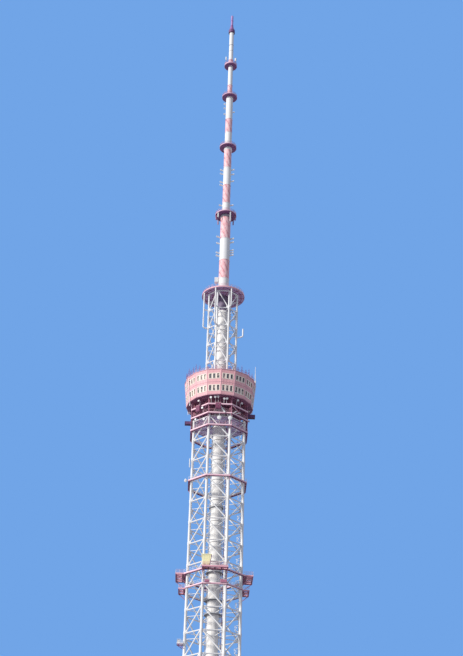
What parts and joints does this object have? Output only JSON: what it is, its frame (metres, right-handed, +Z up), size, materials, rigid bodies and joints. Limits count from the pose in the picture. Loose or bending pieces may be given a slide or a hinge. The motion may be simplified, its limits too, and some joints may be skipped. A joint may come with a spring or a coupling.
{
  "type": "lattice radio and television tower, 1:10 scale model",
  "caption": "Scale model of a tall lattice broadcasting tower: raking legs, octagonal trunk, round two-storey drum, upper trunk and a banded aerial mast.",
  "frame": {"origin": "on the ground, on the tower's upright axis", "axes": "+Z up, along the tower's axis; -Y towards the side that the picture shows; +X to the right of that side"},
  "size_m": [9.3, 9.3, 38.5],
  "materials": {
    "concrete": "plain cast concrete, weathered",
    "glazing": "dark window glass",
    "red_paint": "sun-faded red oil paint on steel",
    "dark_red_paint": "dark red paint on the undersides",
    "cream_paint": "pale cream-yellow paint",
    "pipe_paint": "off-white paint, streaked",
    "grey_steel": "grey paint, dulled",
    "white_paint": "white paint, lightly weathered"
  },
  "bodies": {
    "root": {"cabin_roof": "cream_paint", "cabin_walls": "cream_paint", "central_pipe": "pipe_paint", "disc_aerials": "white_paint", "drum_floor": "dark_red_paint", "drum_glass": "glazing", "drum_middle_floor": "dark_red_paint", "drum_roof": "red_paint", "drum_walls": "red_paint", "gallery_cabinets": "dark_red_paint", "gallery_decks": "dark_red_paint", "gallery_dishes": "white_paint", "gallery_posts": "red_paint", "hung_frames": "white_paint", "junction_ring": "dark_red_paint", "leg_plinths": "concrete", "lower_balconies": "red_paint", "mast_cone": "red_paint", "mast_panels": "white_paint", "mast_platforms": "red_paint", "mast_red_sections": "red_paint", "mast_white_sections": "white_paint", "pipe_decks": "grey_steel", "pipe_plinth": "concrete", "raking_leg_back": "white_paint", "raking_leg_front": "white_paint", "raking_leg_left": "white_paint", "raking_leg_right": "white_paint", "ring_decks": "red_paint", "side_platform": "white_paint", "tip_rod": "white_paint", "top_disc": "red_paint", "trunk_lattice_back": "white_paint", "trunk_lattice_back_left": "white_paint", "trunk_lattice_back_right": "white_paint", "trunk_lattice_front": "white_paint", "trunk_lattice_front_left": "white_paint", "trunk_lattice_front_right": "white_paint", "trunk_lattice_left": "white_paint", "trunk_lattice_right": "white_paint", "trunk_legs": "white_paint", "trunk_spokes": "grey_steel", "upper_balconies": "red_paint", "upper_trunk_lattice": "white_paint", "upper_trunk_legs": "white_paint", "upper_trunk_spokes": "grey_steel"}
  },
  "joints": []
}
